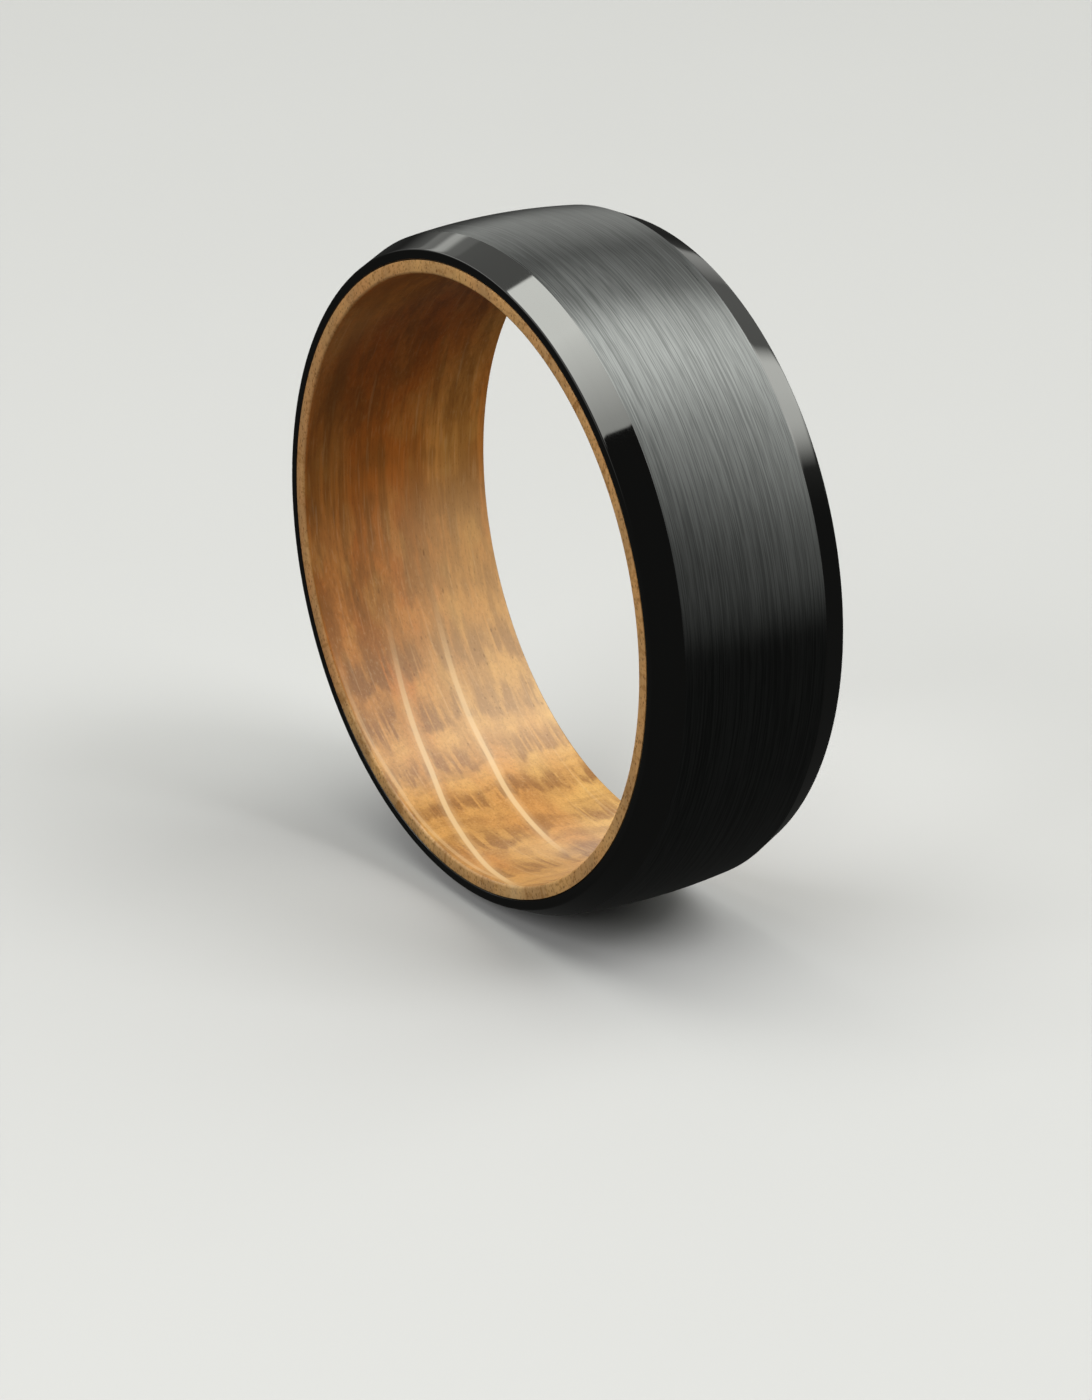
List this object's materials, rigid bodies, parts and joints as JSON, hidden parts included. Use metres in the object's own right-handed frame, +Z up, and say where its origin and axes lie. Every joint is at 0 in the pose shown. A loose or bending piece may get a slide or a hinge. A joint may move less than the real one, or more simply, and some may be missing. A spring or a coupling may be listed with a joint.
{
  "type": "wedding band",
  "caption": "Wedding band: black tungsten carbide ring with a domed brushed centre and polished bevelled edges, over a comfort-edged sleeve turned from oak.",
  "frame": {"origin": "centre of the finger bore, half way between the two end faces", "axes": "+Y along the ring's axis, through the finger bore; +Z up, with the ring standing on its rim"},
  "size_m": [0.0252, 0.008, 0.0252],
  "materials": {
    "black_tungsten": "black plated tungsten carbide, brushed round the domed centre and mirror polished on the bevels and end lands",
    "oak": "solid oak turned thin, sanded smooth and sealed with a clear satin coat",
    "adhesive": "dark cured epoxy, seen only as a hairline between oak and metal"
  },
  "bodies": {
    "root": {"tungsten_shell": "black_tungsten", "oak_liner": "oak", "adhesive_film": "adhesive"}
  },
  "joints": []
}
